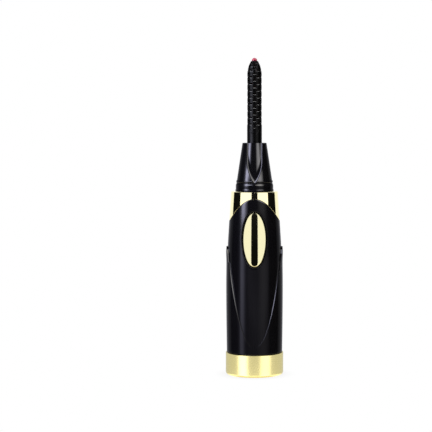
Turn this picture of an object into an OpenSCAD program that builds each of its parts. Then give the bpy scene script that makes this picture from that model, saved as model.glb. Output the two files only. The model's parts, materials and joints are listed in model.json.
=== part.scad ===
// Pen-type heated eyelash curler: a heated comb head on a nose cone, a gold ring, a black
// body shell with an oval push button, and a pull-off base cap that closes the battery bay.
// Millimetres. +Z runs up the pen, the origin is the centre of the base, the button faces -Y.

/* [Overall] */
// Height from the base to the tip of the heating core
total_h = 139.5; // [136:0.5:150]
// Clearance between pieces that are fitted together and never move
fit_gap = 0.05; // [0.02:0.01:0.08]
// Clearance between a moving piece and what it moves in
run_gap = 0.15; // [0.1:0.05:0.2]

/* [Base cap] */
// Radius of the gold base cap
cap_r = 12.7; // [12.6:0.1:14]
// Height of the gold base cap
cap_h = 9.9; // [9.5:0.1:10]
// Rounding of the cap's bottom edge
cap_round = 1.25; // [0.5:0.05:2]
// Wall of the gold base cap
cap_wall = 1.1; // [0.8:0.1:1.4]

/* [Body shell] */
// Height at which the body shell starts, just above the cap
shell_z = 10.05; // [10.05:0.05:10.8]
// Bore of the body shell
shell_bore_r = 10.3; // [10.3:0.05:10.5]
// Highest point of the arch at the shell's top edge
arch_top = 78.1; // [77:0.1:78.6]
// How far the arch drops from its top to the sides
arch_drop = 10; // [8:0.1:11]
// Lowest point of the line that bounds the raised side panels
panel_low = 13.6; // [12:0.1:20]
// Steepness of that line
panel_rise = 0.155; // [0.14:0.001:0.16]
// Exponent of that line
panel_power = 2.24; // [2.2:0.01:2.26]

/* [Button] */
// Height of the button's centre
button_z = 60.5; // [60.3:0.1:61.3]
// Half width of the oval button
button_a = 5.1; // [4:0.1:5.2]
// Half height of the oval button
button_b = 11.8; // [10:0.1:12]
// How far the button stands proud of the shell
button_proud = 0.35; // [0.1:0.05:0.6]
// Travel of the button and of the switch under it
button_travel = 0.5; // [0.3:0.05:0.5]

/* [Gold ring and nose cone] */
// Radius of the gold ring at its top
ring_top_r = 10.25; // [10:0.05:10.5]
// Height of the gold ring's top face
ring_top_z = 81.1; // [80.8:0.1:81.5]
// Radius of the nose cone at its tip
nose_tip_r = 5.3; // [5:0.05:5.6]
// Height of the nose cone's tip
nose_tip_z = 102.3; // [101.8:0.1:102.8]
// Radius of the collar that a protective cap pushes on to
collar_r = 8.25; // [8.1:0.05:8.4]
// Depth of the scoops in the nose cone
scoop_depth = 0.8; // [0.4:0.05:1]
// Half width of the scoops where their sides run straight
scoop_half_w = 3.5; // [3:0.1:4]

/* [Comb head] */
// Radius of the comb and its shaft
comb_r = 3.26; // [3.1:0.02:3.4]
// Bore of the comb
comb_bore_r = 2.1; // [2.05:0.05:2.2]
// Distance from one row of slits to the next in a column
slit_pitch = 2.94; // [2.8:0.02:3]
// Height of one slit
slit_h = 0.65; // [0.4:0.05:0.8]
// Width of one slit
slit_w = 1.5; // [1:0.1:1.6]
// Rows of slits in the columns beside the middle one
slit_rows = 9; // [6:1:9]
// Radius of the ball at the tip of the heating core
tip_ball_r = 1.14; // [0.9:0.02:1.2]

/* [Battery and inside] */
// Radius of the AAA cell
cell_r = 5.2; // [5.1:0.05:5.25]
// Length of the AAA cell with its terminal
cell_len = 44.5; // [44:0.1:44.5]
// Height of the cell's lower end
cell_z = 12; // [11.8:0.1:12.2]
// Turns of the contact spring
spring_turns = 5; // [4:1:6]
// Width of the circuit board
board_w = 11; // [10:0.1:11.4]

/* [Hidden] */
$fn = 64;
far = 40;

// Half of the shell's outline inside the front panel, and the straight line of the ring above it
waist_z = 67.7;
waist_r = 11.15;
front_line = [[11.85, shell_z], [11.95, 30], [11.9, 45], [11.75, 57.5], [11.4, 63.7],
    [waist_r, waist_z], [ring_top_r, ring_top_z]];
// The outline of the raised side panels
panel_line = [[12.25, shell_z], [12.42, 24], [12.5, 34], [12.5, 42], [12.42, 50],
    [12.5, 55.7], [12.2, 57.5]];
// The shell's bore narrows above the button
bore_turn_z = 62;
wall_top = 1.2;
ring_wall = 2.3;
arch_gap = 0.15;
arch_half_w = waist_r;

button_back = -9.15;
tab_back = -8.8;
board_front = -7.7;
board_back = -6.7;
board_low = 49.5;
board_high = 72;
rail_front = board_back + fit_gap;
screw_z = [51.2, 70.3];
switch_front = -8.6;
carrier_r = 6.5;
carrier_bore_r = 5.5;
carrier_low = 19;
carrier_high = 58.7;
strip_x = -7;
strip_t = 0.25;
slot_z = 57;
plug_top = 17.7;
cup_r = 7.5;
cup_t = 0.25;
scoop_low = 84.7;
scoop_curve_h = 10.7;
scoop_power = 0.72;
shoulder_low = 106.1;
shoulder_rise = 0.447;
comb_top_z = total_h - 1.4;
// The right lead's route from the board to the heater
lead_route = [[1.5, -7.2, 72.4], [1.5, -6.8, 73.4], [1.5, -5.5, 74.6], [1.45, -4.8, 76.5],
    [1.4, -4, 78.5], [1.3, -3.1, 80.5], [1.15, -2.2, 82.5], [1, -1.4, 84.5], [0.8, -0.6, 87],
    [0.65, -0.2, 90], [0.6, 0, 93], [0.6, 0, 98.5]];

function ring_r(z) = ring_top_r
    + (waist_r - ring_top_r) * (ring_top_z - z) / (ring_top_z - waist_z);
function arch(x) = arch_top - arch_drop * pow(x / arch_half_w, 2);
function panel_edge(x) = panel_low + panel_rise * pow(abs(x), panel_power);
function scoop_w(u) = scoop_half_w * pow(1 - pow(1 - u, 2), scoop_power);
function oval(a, b) = [for (t = [0 : 7.5 : 359]) [a * cos(t), b * sin(t)]];

// Stands a drawing of the front view upright and makes it as deep as asked
module front_prism(depth) {
    rotate([90, 0, 0]) linear_extrude(height = depth, center = true) children();
}

// Everything below the arch, raised by a gap
module below_arch(gap) {
    front_prism(far) polygon(concat([[-14, 0]],
        [for (x = [-14 : 1 : 14]) [x, arch(x) + gap]], [[14, 0]]));
}

// A turned solid between a line of [radius, height] points and the axis
module turned(line) {
    low = line[0][1];
    high = line[len(line) - 1][1];
    rotate_extrude() polygon(concat([[0, low]], line, [[0, high]]));
}

// A plate across the front of the pen: width, front face, back face, low and high edge
module plate(w, front, back, low, high) {
    translate([-w / 2, front, low]) cube([w, back - front, high - low]);
}

// The stretch of the outline that the oval button and its hole follow
module oval_prism(a, b) {
    translate([0, -far / 4, button_z]) front_prism(far / 2) polygon(oval(a, b));
}

// Direction of a route at one of its points
function heading(route, k) = let (
        last = len(route) - 1,
        d = route[min(k + 1, last)] - route[max(k - 1, 0)])
    d / norm(d);

// Round wire swept along a route; its first side faces the way that side_dir points
module wire(route, r, sides, side_dir) {
    count = len(route);
    points = [for (k = [0 : count - 1]) let (
            t = heading(route, k),
            flat = side_dir - t * (side_dir * t),
            u = flat / norm(flat),
            v = cross(t, u))
        for (s = [0 : sides - 1]) let (a = 360 * s / sides)
            route[k] + r * cos(a) * u + r * sin(a) * v];
    walls = [for (k = [0 : count - 2], s = [0 : sides - 1]) let (n = (s + 1) % sides)
        [k * sides + s, (k + 1) * sides + s, (k + 1) * sides + n, k * sides + n]];
    first = [for (s = [0 : sides - 1]) s];
    last = [for (s = [sides - 1 : -1 : 0]) (count - 1) * sides + s];
    polyhedron(points, concat([first], walls, [last]), convexity = 10);
}

// A bar through the comb makes two slits; turn 90 puts them at the front and the back
module slit_bar(z, turn, w) {
    translate([0, 0, z]) rotate([0, 0, turn]) cube([2 * comb_r + 2, w, slit_h], center = true);
}

// Three bars make six slits at one height
module slit_star(z, turn, w) {
    for (k = [0 : 2]) slit_bar(z, turn + 60 * k, w);
}

// Comb: a slotted tube with a dome top that runs down into the nose cone
module comb_shell() {
    first_row = total_h - 5.4;
    color("dimgray") difference() {
        turned([[comb_r, 97], [comb_r, total_h - 9.6], [3.17, total_h - 7.4],
            [3.1, total_h - 6.1], [2.96, total_h - 5.2], [2.71, total_h - 4.3],
            [2.49, total_h - 3.4], [2.06, total_h - 2.5], [1.55, comb_top_z]]);
        turned([[2.2, 96], [2.2, 107], [comb_bore_r, 107.1], [comb_bore_r, total_h - 5.7],
            [1.1, total_h - 2.4], [1.22, total_h - 1.2]]);
        for (k = [0 : slit_rows - 1]) slit_star(first_row - slit_pitch * k, 60, slit_w);
        for (k = [0 : slit_rows - 2]) slit_star(first_row - slit_pitch * (k + 0.5), 90, slit_w);
        slit_bar(first_row - slit_pitch * (slit_rows - 0.5), 90, 1);
        slit_star(total_h - 4.7, 90, 1);
        slit_star(total_h - 3.6, 90, 0.8);
        shaft_shoulder();
    }
}

// Above a curved shoulder the comb zone is a little thinner than the shaft
module shaft_shoulder() {
    high = total_h - 10;
    difference() {
        front_prism(far) polygon(concat([[-4, high]],
            [for (x = [-4 : 0.5 : 4]) [x, shoulder_low + shoulder_rise * x * x]], [[4, high]]));
        translate([0, 0, 90]) cylinder(h = 60, r = comb_r - 0.05);
    }
}

// Red silicone core: fills the comb and ends in the ball at the tip
module heating_core() {
    ball_z = total_h - tip_ball_r;
    color("crimson") difference() {
        union() {
            turned([[1.9, 107.4], [1.9, total_h - 6], [0.92, total_h - 2.6], [0.92, ball_z]]);
            translate([0, 0, ball_z]) sphere(r = tip_ball_r);
        }
        translate([-0.85, -0.35, 100]) cube([1.7, 0.7, total_h - 106.5]);
    }
}

// Ceramic heater inside the core
module heater_strip() {
    color("gainsboro") translate([-0.8, -0.3, 99]) cube([1.6, 0.6, total_h - 106]);
}

// Heat-proof bush that holds the heater in the foot of the comb
module heater_bush() {
    color("ivory") difference() {
        translate([0, 0, 95]) cylinder(h = 11.5, r = 2.15);
        translate([-0.85, -0.35, 98.9]) cube([1.7, 0.7, 10]);
        for (s = [-1, 1]) translate([0.6 * s, 0, 90]) cylinder(h = 10, r = 0.4);
    }
}

// Two leads from the board's top edge to the heater
module heater_leads() {
    color("red") for (s = [-1, 1]) {
        route = [for (p = lead_route) [p[0] * s, p[1], p[2]]];
        wire(route, 0.35, 8, [1, 0, 0]);
    }
}

// Nose cone: two long scoops, a ridge, a groove, a collar, a lip and the spigot inside the ring
module nose_cone() {
    spigot_r = 7.6;
    foot_r = 7.75;
    foot_z = 85.85;
    color("#26242c") difference() {
        turned([[spigot_r, 76], [spigot_r, ring_top_z + fit_gap], [8.45, ring_top_z + fit_gap],
            [8.45, 81.8], [collar_r, 81.9], [collar_r, 84.2], [8, 84.35], [8, 84.65],
            [7.9, 84.75], [7.9, 85], [8.05, 85.1], [8.05, 85.7], [foot_r, foot_z],
            [nose_tip_r, nose_tip_z]]);
        turned([[6.3, 75], [6.3, 83], [5.9, 86], [4.2, 94], [comb_r + 0.06, 96],
            [comb_r + 0.06, 104]]);
        difference() {
            scoop_outline();
            turned([[foot_r - scoop_depth, 80], [foot_r - scoop_depth, foot_z],
                [nose_tip_r - scoop_depth, nose_tip_z + 0.5]]);
        }
    }
}

// Front view of the scoops: a pointed arch upside down, cut through from front to back
module scoop_outline() {
    steps = [0, 0.02, 0.06, 0.12, 0.2, 0.3, 0.45, 0.6, 0.8, 1];
    side = concat([for (u = steps) [scoop_w(u), scoop_low + scoop_curve_h * u]],
        [[scoop_half_w, nose_tip_z + 1]]);
    front_prism(far) polygon(concat(side,
        [for (k = [len(side) - 1 : -1 : 1]) [-side[k][0], side[k][1]]]));
}

// Gold ring: a skin flush with the shell above the arch, and a tongue behind the shell
module gold_ring() {
    low = 69;
    color("gold") difference() {
        union() {
            difference() {
                turned([[ring_r(60), 60], [ring_top_r + 0.02, ring_top_z - 0.3],
                    [ring_top_r - 0.28, ring_top_z]]);
                below_arch(arch_gap);
            }
            turned([[ring_r(low) - wall_top - arch_gap, low],
                [ring_r(ring_top_z) - wall_top - arch_gap, ring_top_z]]);
        }
        turned([[ring_r(59) - ring_wall, 59], [ring_r(80) - ring_wall, 80]]);
        translate([0, 0, 70]) cylinder(h = 20, r = 7.6 + fit_gap);
        plate(14, -far, 0, 60, 76);
    }
}

// Body shell: a tapered tube with an arched top edge, raised side panels and the button's hole
module body_shell() {
    color("#1c1b20") difference() {
        intersection() {
            union() {
                turned(front_line);
                intersection() {
                    turned(panel_line);
                    panel_region();
                }
            }
            below_arch(0);
        }
        turned([[shell_bore_r, 5], [shell_bore_r, bore_turn_z],
            [ring_top_r - wall_top, ring_top_z + 1]]);
        oval_prism(button_a + 0.25, button_b + 0.25);
        difference() {
            oval_prism(button_a + 0.6, button_b + 0.6);
            turned([for (p = front_line) [p[0] - 0.4, p[1]]]);
        }
    }
}

// Front view of the side panels: everything below the long U line
module panel_region() {
    front_prism(far) polygon(concat([[-15, 0]],
        [for (x = [-13 : 1 : 13]) [x, panel_edge(x)]], [[15, 0]]));
}

// Oval push button with a retaining tab at each end, inside the shell
module power_button() {
    color("gold") {
        intersection() {
            oval_prism(button_a, button_b);
            turned([for (p = front_line) [p[0] + button_proud, p[1]]]);
            plate(20, -far, button_back, 40, 80);
        }
        intersection() {
            plate(5, -far, tab_back, 47.6, 50.5);
            cylinder(h = 100, r = shell_bore_r - run_gap);
        }
        plate(5, button_back, tab_back, 50.5, 52);
        plate(5, -9.2, -8.6, 71.8, 74);
    }
}

// Gold cap: a plain cup with a rounded bottom edge
module base_cap() {
    inner = cap_r - cap_wall;
    color("#e8d9a0") rotate_extrude() difference() {
        union() {
            square([cap_r - cap_round, cap_h]);
            translate([0, cap_round]) square([cap_r, cap_h - cap_round]);
            translate([cap_r - cap_round, cap_round]) circle(r = cap_round);
        }
        translate([0, cap_wall]) square([inner, cap_h]);
    }
}

// Insulating plug in the cap: it slides into the shell's bore and holds the contacts
module cap_plug() {
    plug_r = shell_bore_r - run_gap;
    color("#303030") rotate_extrude() difference() {
        union() {
            translate([0, cap_wall + fit_gap])
                square([cap_r - cap_wall - fit_gap, cap_h - cap_wall - 0.15]);
            translate([0, 5]) square([plug_r, plug_top - 5]);
        }
        translate([0, 3.8]) square([cup_r + fit_gap, 20]);
        translate([9.15, 13.5]) square([4, 1.6]);
    }
}

// Rubber ring that gives the cap its push fit
module cap_seal() {
    color("black") translate([0, 0, 14.3]) rotate_extrude()
        translate([9.72, 0]) circle(r = 0.55);
}

// Pressed metal cup that carries the spring and meets the ground strip with its rim
module contact_cup() {
    color("silver") rotate_extrude() {
        translate([0, 3.85]) square([cup_r, cup_t]);
        translate([cup_r - cup_t, 3.85]) square([cup_t, plug_top + 0.3 - 3.85]);
        translate([cup_r - cup_t, plug_top + 0.05]) square([2, cup_t]);
    }
}

// Conical contact spring, swept along a rising helix
module contact_spring() {
    wire_r = 0.35;
    low = 4.1 + wire_r + 0.02;
    high = cell_z - wire_r - 0.05;
    wide = 5.4;
    narrow = 3.6;
    per_turn = 16;
    steps = spring_turns * per_turn;
    route = [for (k = [0 : steps]) let (
            t = k / steps,
            turn = 360 * spring_turns * t,
            coil_r = wide + (narrow - wide) * t)
        [coil_r * cos(turn), coil_r * sin(turn), low + (high - low) * t]];
    color("silver") wire(route, wire_r, 6, [0, 0, 1]);
}

// AAA cell with its terminal
module battery_cell() {
    color("darkgoldenrod") {
        translate([0, 0, cell_z]) cylinder(h = cell_len - 0.8, r = cell_r);
        translate([0, 0, cell_z]) cylinder(h = cell_len, r = 1.9);
    }
}

// Carrier: the cell's tube, two centring flanges and the rail that the board is screwed to
module battery_carrier() {
    color("#8a8f96") difference() {
        union() {
            translate([0, 0, carrier_low]) cylinder(h = carrier_high - carrier_low, r = carrier_r);
            translate([0, 0, carrier_low]) cylinder(h = 1.4, r = 10.1);
            translate([0, 0, carrier_high - 1.2]) cylinder(h = 1.2, r = 9.9);
            plate(9, rail_front, -5.2, 48, board_high);
        }
        translate([0, 0, 10]) cylinder(h = slot_z + 0.45 - 10, r = carrier_bore_r);
        plate(14, -far, rail_front, 30, 80);
        plate(2.6, -8, -4, slot_z - 0.3, slot_z + 0.45);
        translate([strip_x - 0.1, -1.7, 10]) cube([0.45, 3.4, 40]);
        for (z = screw_z) translate([0, -8, z]) rotate([-90, 0, 0]) cylinder(h = 2.5, r = 0.72);
    }
}

// Sprung leaf under the carrier's top that meets the cell's terminal
module positive_contact() {
    color("silver") {
        translate([0, 0, slot_z]) cylinder(h = 0.3, r = 4.6);
        translate([0, 0, slot_z - 0.43]) cylinder(h = 0.5, r1 = 1, r2 = 2);
        plate(2, rail_front, 0, slot_z, slot_z + 0.3);
    }
}

// Strip that carries the negative pole from the cap to the board
module ground_strip() {
    low = plug_top + 0.4;
    color("silver") {
        translate([strip_x, -1.5, low]) cube([strip_t, 3, 52.3 - low]);
        translate([strip_x - 1.6, -1.5, low]) cube([1.7, 3, strip_t]);
        translate([strip_x, -7.3, 50.3]) cube([strip_t, 6, 2]);
        translate([strip_x, -7.3, 50.3])
            cube([-board_w / 2 - fit_gap - strip_x, strip_t, 2]);
    }
}

// Circuit board behind the button
module circuit_board() {
    color("darkgreen") difference() {
        plate(board_w, board_front, board_back, board_low, board_high);
        for (z = screw_z) translate([0, -9, z]) rotate([-90, 0, 0]) cylinder(h = 4, r = 0.85);
    }
}

// Tact switch: the housing with a round well
module switch_body() {
    half = 2.25;
    color("#3a3a3a") difference() {
        plate(2 * half, switch_front, board_front - 0.02, button_z - half, button_z + half);
        translate([0, -10, button_z]) rotate([-90, 0, 0]) cylinder(h = 2.24, r = 1.15);
    }
}

// The switch's plunger
module switch_plunger() {
    front = button_back + fit_gap;
    color("#8b1a1a") translate([0, front, button_z]) rotate([-90, 0, 0])
        cylinder(h = 0.8, r = 1);
}

// Control chip with its two rows of legs
module control_chip() {
    color("#202020") plate(3, -8.45, -7.85, 53.4, 57.4);
    color("silver") for (s = [-1, 1], k = [0 : 3])
        translate([s > 0 ? 1.45 : -2.15, board_front - 0.3, 53.8 + k]) cube([0.7, 0.28, 0.35]);
}

// Small parts that share one shape
module chip_resistors() {
    color("#d8d0c0") for (p = [[-4.2, 55], [-4.2, 58], [3.6, 55], [3.6, 58], [-4.2, 66]])
        translate([p[0], board_front - 0.47, p[1]]) cube([0.8, 0.45, 1.6]);
}

// Smoothing capacitor above the switch
module capacitor() {
    color("#b89050") plate(2.5, -8.5, board_front - 0.02, 65.4, 67);
}

// Two screws that hold the board on the carrier's rail
module board_screws() {
    color("silver") for (z = screw_z) translate([0, 0, z]) rotate([-90, 0, 0]) {
        translate([0, 0, board_front - 0.45]) difference() {
            cylinder(h = 0.43, r = 1.3);
            translate([-0.9, -0.15, -0.1]) cube([1.8, 0.3, 0.3]);
            translate([-0.15, -0.9, -0.1]) cube([0.3, 1.8, 0.3]);
        }
        translate([0, 0, board_front - 0.1]) cylinder(h = 2.1, r = 0.7);
    }
}

comb_shell();
heating_core();
heater_strip();
heater_bush();
heater_leads();
nose_cone();
gold_ring();
body_shell();
power_button();
base_cap();
cap_plug();
cap_seal();
contact_cup();
contact_spring();
battery_cell();
battery_carrier();
positive_contact();
ground_strip();
circuit_board();
switch_body();
switch_plunger();
control_chip();
chip_resistors();
capacitor();
board_screws();
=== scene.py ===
"""Looks of a pen-type heated eyelash curler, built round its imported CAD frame.

Shapes are worked out in millimetres and scaled to metres when a mesh is made. An angle round the pen is 0
at the front, where the push button is, and grows towards +X.
"""

import json
import math

import bpy
import numpy as np
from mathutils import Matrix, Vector


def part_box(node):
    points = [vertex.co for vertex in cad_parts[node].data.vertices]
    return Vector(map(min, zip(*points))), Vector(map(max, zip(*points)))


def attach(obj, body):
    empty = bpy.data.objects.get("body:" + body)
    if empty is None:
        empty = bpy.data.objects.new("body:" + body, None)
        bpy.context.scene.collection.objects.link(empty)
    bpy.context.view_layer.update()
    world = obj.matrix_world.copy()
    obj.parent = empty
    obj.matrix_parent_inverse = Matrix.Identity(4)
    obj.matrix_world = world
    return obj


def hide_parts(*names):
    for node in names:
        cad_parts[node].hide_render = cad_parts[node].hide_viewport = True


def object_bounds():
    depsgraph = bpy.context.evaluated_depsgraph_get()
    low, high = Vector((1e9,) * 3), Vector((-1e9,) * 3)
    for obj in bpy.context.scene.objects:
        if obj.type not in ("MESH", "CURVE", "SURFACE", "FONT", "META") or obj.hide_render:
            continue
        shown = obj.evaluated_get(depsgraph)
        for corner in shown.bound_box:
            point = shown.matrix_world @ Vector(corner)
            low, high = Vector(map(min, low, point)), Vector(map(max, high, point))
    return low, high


MM = 0.001
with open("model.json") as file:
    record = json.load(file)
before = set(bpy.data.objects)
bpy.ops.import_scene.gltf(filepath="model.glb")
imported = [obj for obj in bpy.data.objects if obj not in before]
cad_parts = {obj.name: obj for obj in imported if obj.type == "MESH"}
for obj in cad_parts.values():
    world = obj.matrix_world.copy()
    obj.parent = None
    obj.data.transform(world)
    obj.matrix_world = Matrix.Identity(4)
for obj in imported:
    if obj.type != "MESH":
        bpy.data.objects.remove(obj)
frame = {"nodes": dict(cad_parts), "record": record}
cad_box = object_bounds()


def z_range(node):
    """Lowest and highest point of a CAD node, in millimetres."""
    low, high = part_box(node)
    return low[2] / MM, high[2] / MM


def half_width(node):
    """How far a CAD node reaches towards +X, in millimetres."""
    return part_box(node)[1][0] / MM


# -------- sizes that come from the frame

TOTAL_H = cad_box[1][2] / MM
CAP_R, CAP_H = half_width("base_cap"), z_range("base_cap")[1]
SHELL_LOW, ARCH_TOP = z_range("body_shell")
RING_TOP = z_range("gold_ring")[1]
NOSE_LOW, NOSE_TIP = z_range("nose_cone")
LIP_R = half_width("nose_cone")
COMB_LOW, COMB_TOP = z_range("comb_shell")
COMB_R = half_width("comb_shell")
CELL_LOW, CELL_TOP = z_range("battery_cell")
CELL_R = half_width("battery_cell")
PLUG_TOP = z_range("cap_plug")[1]
BUTTON_A = half_width("power_button")

# -------- form lines of the object

# (height, radius) of the surface inside the front panel; it runs on as the gold ring's outside
WAIST_Z, WAIST_R = 67.7, 11.15
RING_TOP_R = 10.25
FRONT_LINE = [(SHELL_LOW, 11.85), (30, 11.95), (45, 11.9), (57.5, 11.75), (63.7, 11.4),
              (WAIST_Z, WAIST_R), (74.5, 10.69), (RING_TOP, RING_TOP_R)]
# (height, radius) of the raised side panels
PANEL_LINE = [(SHELL_LOW, 12.25), (24, 12.42), (34, 12.5), (42, 12.5), (50, 12.42), (55.7, 12.48),
              (58, 12.2)]
ARCH_DROP = 10
PANEL_LOW, PANEL_RISE, PANEL_POWER = 13.6, 0.155, 2.24
SEAM_DEPTH, SEAM_BEVEL, SEAM_END_X, SEAM_FADE = 0.225, 0.02, 12.5, 0.8
BORE_R, BORE_TURN_Z, SHELL_WALL = 10.3, 62, 1.2
BUTTON_B, BUTTON_Z, BUTTON_BACK = 11.8, 60.5, -9.15
OPENING_GROW = 0.72
# (distance outside the button's outline, depth below the shell's surface) down the opening's rolled rim
OPENING_RIM = [(0.66, 0.02), (0.60, 0.08), (0.58, 0.16), (0.58, 0.36), (0.54, 0.42), (0.30, 0.45),
               (0.25, 0.50), (0.25, 0.80)]
SCOOP_LOW, SCOOP_CURVE_H, SCOOP_POWER, SCOOP_HALF_W = 84.7, 10.7, 0.72, 3.5
SHOULDER_LOW, SHOULDER_RISE, SHOULDER_STEP, SHOULDER_H = 106.1, 0.447, 0.1, 0.5
SLIT_PITCH, SLIT_H, SLIT_W, SLIT_ROWS = 2.94, 0.65, 1.5, 9
LEDGE_H, LEDGE_DEPTH = 0.2, 0.17
COMB_COLUMNS, SLIT_PARTS, WEB_PARTS = 12, 6, 2


def smooth_line(points):
    """A smooth curve through (height, radius) points, as a function of the height."""
    z, r = np.array(points, float).T
    slope = np.gradient(r, z)

    def radius(height):
        h = np.clip(height, z[0], z[-1])
        k = np.clip(np.searchsorted(z, h) - 1, 0, len(z) - 2)
        span = z[k + 1] - z[k]
        t = (h - z[k]) / span
        start = (1 + 2 * t) * (1 - t) ** 2 * r[k] + t * (1 - t) ** 2 * span * slope[k]
        end = t * t * (3 - 2 * t) * r[k + 1] + t * t * (t - 1) * span * slope[k + 1]
        return start + end

    return radius


front_r = smooth_line(FRONT_LINE)
panel_r = smooth_line(PANEL_LINE)


def bore_r(z):
    """Radius of the shell's bore, which narrows above the button."""
    slope = (RING_TOP_R - SHELL_WALL - BORE_R) / (RING_TOP + 1 - BORE_TURN_Z)
    return BORE_R + slope * np.maximum(z - BORE_TURN_Z, 0)


def arch_z(x):
    return ARCH_TOP - ARCH_DROP * (x / WAIST_R) ** 2


def panel_edge_z(x):
    return PANEL_LOW + PANEL_RISE * np.abs(x) ** PANEL_POWER


def round_point(angle, r, z):
    """Points at an angle round the pen, a radius and a height."""
    angle, r, z = np.broadcast_arrays(angle, r, z)
    return np.stack([r * np.sin(angle), -r * np.cos(angle), z], axis=-1)


def on_front(x, z, radius):
    """Points of a turned surface above a place in the front view."""
    return np.stack([x, -np.sqrt(np.maximum(radius(z) ** 2 - x ** 2, 0)), z], axis=-1)


def meet(edge_z, radius, angle):
    """Height at which a line drawn in the front view crosses each angle of a turned surface."""
    first_guess, rounds = 60.0, 12
    z = np.full_like(angle, first_guess)
    for _ in range(rounds):
        z = 0.5 * z + 0.5 * edge_z(radius(z) * np.sin(angle))
    return z


def smooth_step(u):
    return u * u * (3 - 2 * u)


# -------- mesh tools


def add_object(name, data):
    made = bpy.data.objects.new(name, data)
    bpy.context.scene.collection.objects.link(made)
    return made


def new_piece(name, points, faces, body, slot, nodes, sharp=38):
    """A mesh piece from points in millimetres, which rides on a body and stands for CAD nodes."""
    mesh = bpy.data.meshes.new(name)
    mesh.from_pydata((np.asarray(points) * MM).tolist(), [], faces)
    mesh.validate()
    mesh.update()
    mesh.polygons.foreach_set("use_smooth", [True] * len(mesh.polygons))
    mesh.set_sharp_from_angle(angle=math.radians(sharp))
    piece = add_object(name, mesh)
    mesh.materials.append(LOOKS[slot])
    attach(piece, body)
    if nodes:
        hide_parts(*nodes)
    return piece


def ring_faces(rows, columns, closed=False):
    """Quads of a grid whose columns go round; closed joins the last row to the first."""
    faces = []
    for i in range(rows if closed else rows - 1):
        a, b = i * columns, (i + 1) % rows * columns
        faces += [(a + j, a + (j + 1) % columns, b + (j + 1) % columns, b + j) for j in range(columns)]
    return faces


def rounded_outline(corners, steps=5):
    """A closed outline of (radius, height) points from (radius, height, rounding) corners."""
    outline = []
    for k, (r, z, rounding) in enumerate(corners):
        here = Vector((r, z))
        before = Vector(corners[k - 1][:2]) - here
        after = Vector(corners[(k + 1) % len(corners)][:2]) - here
        if rounding <= 0:
            outline.append(tuple(here))
            continue
        half = before.angle(after) / 2
        reach = min(rounding / math.tan(half), 0.49 * before.length, 0.49 * after.length)
        middle = here + (before.normalized() + after.normalized()).normalized() * (reach / math.cos(half))
        start = here + before.normalized() * reach - middle
        end = here + after.normalized() * reach - middle
        turn = start.angle_signed(end)
        for s in range(steps + 1):
            a = -turn * s / steps
            spun = Vector((start.x * math.cos(a) - start.y * math.sin(a),
                           start.x * math.sin(a) + start.y * math.cos(a)))
            outline.append(tuple(middle + spun))
    return outline


def add_fans(points, faces, columns, foot, top):
    """Closes the first and the last row of a grid by fans round two new points."""
    end = len(points)
    last = end - columns
    faces += [(end, (j + 1) % columns, j) for j in range(columns)]
    faces += [(last + j, last + (j + 1) % columns, end + 1) for j in range(columns)]
    return np.concatenate([points, [foot, top]])


def turned(name, outline, body, slot, nodes, columns=96, sharp=38):
    """A turned piece. An outline that starts and ends on the axis is closed there by fans."""
    on_axis = outline[0][0] == 0
    rings = outline[1:-1] if on_axis else outline
    angle = np.linspace(0, 2 * np.pi, columns, endpoint=False)
    points = np.concatenate([round_point(angle, r, z) for r, z in rings])
    faces = ring_faces(len(rings), columns, closed=not on_axis)
    if on_axis:
        points = add_fans(points, faces, columns, (0, 0, outline[0][1]), (0, 0, outline[-1][1]))
    new_piece(name, points, faces, body, slot, nodes, sharp)


def tube(name, routes, r, body, slot, nodes, sides=10, side_dir=(1, 0, 0)):
    """Round wires swept along routes, with flat ends."""
    points, faces = [], []
    for route in routes:
        route = np.array(route, float)
        base, count = len(points), len(route)
        along = np.gradient(route, axis=0)
        along /= np.linalg.norm(along, axis=1, keepdims=True)
        flat = np.array(side_dir, float) - along * (along @ np.array(side_dir, float))[:, None]
        u = flat / np.linalg.norm(flat, axis=1, keepdims=True)
        v = np.cross(along, u)
        for k in range(count):
            for s in range(sides):
                a = 2 * math.pi * s / sides
                points.append(route[k] + r * (math.cos(a) * u[k] + math.sin(a) * v[k]))
        faces += [tuple(base + i for i in face) for face in ring_faces(count, sides)]
        faces.append(tuple(base + s for s in reversed(range(sides))))
        faces.append(tuple(base + (count - 1) * sides + s for s in range(sides)))
    new_piece(name, points, faces, body, slot, nodes, sharp=50)


def smoothed_route(points, per_span=6):
    """A Catmull-Rom curve through given points."""
    p = [np.array(q, float) for q in points]
    p = [2 * p[0] - p[1]] + p + [2 * p[-1] - p[-2]]
    route = []
    for k in range(1, len(p) - 2):
        for s in range(per_span):
            t = s / per_span
            route.append(0.5 * (2 * p[k] + (p[k + 1] - p[k - 1]) * t
                                + (2 * p[k - 1] - 5 * p[k] + 4 * p[k + 1] - p[k + 2]) * t ** 2
                                + (3 * p[k] - p[k - 1] - 3 * p[k + 1] + p[k + 2]) * t ** 3))
    return route + [p[-2]]


# -------- materials


def add_node(tree, kind, **settings):
    made = tree.nodes.new(kind)
    for key, value in settings.items():
        setattr(made, key, value)
    return made


def map_range(tree, value, low, high, to_low=0.0, to_high=1.0):
    """The value, spread from low and high to the new limits."""
    scale = add_node(tree, "ShaderNodeMapRange")
    for socket, limit in (("From Min", low), ("From Max", high), ("To Min", to_low), ("To Max", to_high)):
        scale.inputs[socket].default_value = limit
    tree.links.new(value, scale.inputs["Value"])
    return scale.outputs["Result"]


def set_stops(ramp, stops):
    """Fills a colour ramp with (place, colour) stops."""
    ramp.elements[0].position = stops[0][0]
    ramp.elements[0].color = (*stops[0][1], 1)
    ramp.elements[1].position = stops[-1][0]
    ramp.elements[1].color = (*stops[-1][1], 1)
    for place, color in stops[1:-1]:
        ramp.elements.new(place).color = (*color, 1)


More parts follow.
